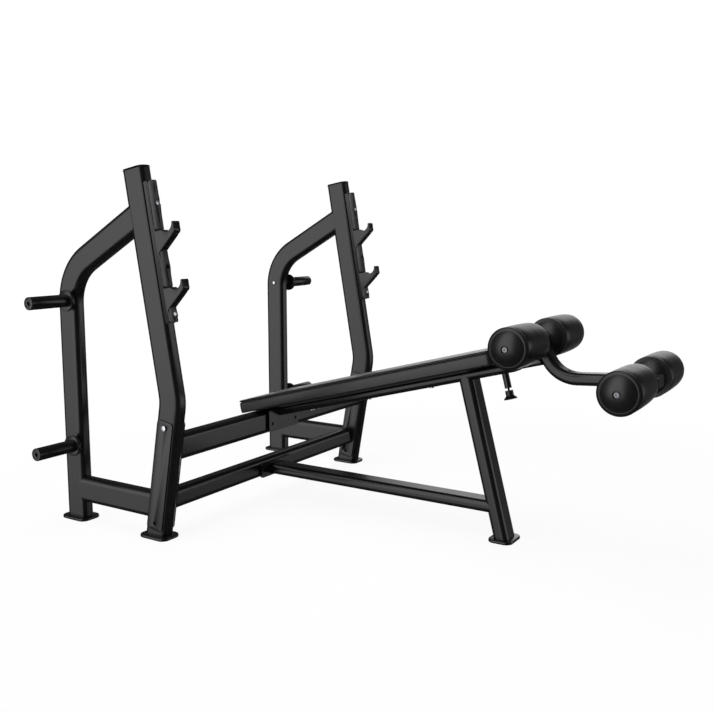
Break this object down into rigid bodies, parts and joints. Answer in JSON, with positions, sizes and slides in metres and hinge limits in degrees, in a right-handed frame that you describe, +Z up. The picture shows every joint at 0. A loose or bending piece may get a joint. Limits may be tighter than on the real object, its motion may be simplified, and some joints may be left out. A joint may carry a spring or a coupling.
{
  "type": "decline press bench",
  "caption": "Decline press bench with stepped bar catches, plate storage horns, a sloping padded bench and a pin-locked sliding carriage of foam leg rollers.",
  "frame": {"origin": "on the floor, in the middle of the part's length and width", "axes": "+X from the rack end towards the leg rollers, +Y across the bench towards its right side frame, +Z up"},
  "size_m": [1.9166, 1.56, 1.2115],
  "materials": {
    "powder_coat": "satin black powder coat",
    "plastic": "fine grained black plastic",
    "zinc": "bright zinc plate",
    "black_screws": "black oxide",
    "satin": "dark satin plate",
    "vinyl": "black upholstery vinyl, fine grain",
    "board": "plywood covered in black backing cloth",
    "foam": "dense closed cell foam, matte skin"
  },
  "bodies": {
    "frame": {"rear_column_left": "powder_coat", "rear_column_right": "powder_coat", "front_upright_left": "powder_coat", "front_upright_right": "powder_coat", "side_beam_left": "powder_coat", "side_beam_right": "powder_coat", "rear_foot_left": "powder_coat", "rear_foot_right": "powder_coat", "front_foot_left": "powder_coat", "front_foot_right": "powder_coat", "upright_cap_left": "plastic", "upright_cap_right": "plastic", "bar_catch_left": "powder_coat", "bar_catch_right": "powder_coat", "catch_guards_left": "plastic", "catch_guards_right": "plastic", "catch_screws": "zinc", "horn_upper_left": "powder_coat", "horn_upper_right": "powder_coat", "horn_lower_left": "powder_coat", "horn_lower_right": "powder_coat", "horn_collars": "powder_coat", "horn_bolts": "zinc", "end_plate_left": "powder_coat", "end_plate_right": "powder_coat", "outer_plate_left": "powder_coat", "outer_plate_right": "powder_coat", "frame_bolts": "zinc", "frame_nuts": "zinc", "upper_cross_beam": "powder_coat", "lower_cross_beam": "powder_coat", "upper_flange": "powder_coat", "lower_flange": "powder_coat", "flange_screws": "black_screws", "spine_beam": "powder_coat", "slide_liner": "plastic", "centre_beam": "powder_coat", "front_leg": "powder_coat", "leg_foot": "powder_coat", "bench_pad": "vinyl", "pad_board": "board", "pad_screws": "zinc", "pin_housing": "powder_coat", "pin_spring": "zinc"},
    "carriage": {"sliding_tube": "satin", "roller_arm": "powder_coat", "arm_plugs": "plastic", "upper_axle": "powder_coat", "lower_axle": "powder_coat", "roller_screws": "zinc"},
    "plunger": {"pull_pin": "zinc", "pin_knob": "plastic"},
    "roller_upper_left": {"foam_upper_left": "foam", "hub_upper_left": "plastic"},
    "roller_upper_right": {"foam_upper_right": "foam", "hub_upper_right": "plastic"},
    "roller_lower_left": {"foam_lower_left": "foam", "hub_lower_left": "plastic"},
    "roller_lower_right": {"foam_lower_right": "foam", "hub_lower_right": "plastic"}
  },
  "joints": [
    {"name": "carriage_slide", "type": "slide", "parent": "frame", "child": "carriage", "axis": [0.9673, 0, 0.2538], "range_m": [0, 0.16]},
    {"name": "plunger_slide", "type": "slide", "parent": "frame", "child": "plunger", "axis": [-0.2538, 0, 0.9673], "range_m": [0, 0.0075]},
    {"name": "roller_upper_left_spin", "type": "hinge", "parent": "carriage", "child": "roller_upper_left", "pos_m": [0.56958, 0, 0.66925], "axis": [0, 1, 0], "continuous": true},
    {"name": "roller_upper_right_spin", "type": "hinge", "parent": "carriage", "child": "roller_upper_right", "pos_m": [0.56958, 0, 0.66925], "axis": [0, 1, 0], "continuous": true},
    {"name": "roller_lower_left_spin", "type": "hinge", "parent": "carriage", "child": "roller_lower_left", "pos_m": [0.89428, 0, 0.56985], "axis": [0, 1, 0], "continuous": true},
    {"name": "roller_lower_right_spin", "type": "hinge", "parent": "carriage", "child": "roller_lower_right", "pos_m": [0.89428, 0, 0.56985], "axis": [0, 1, 0], "continuous": true}
  ]
}
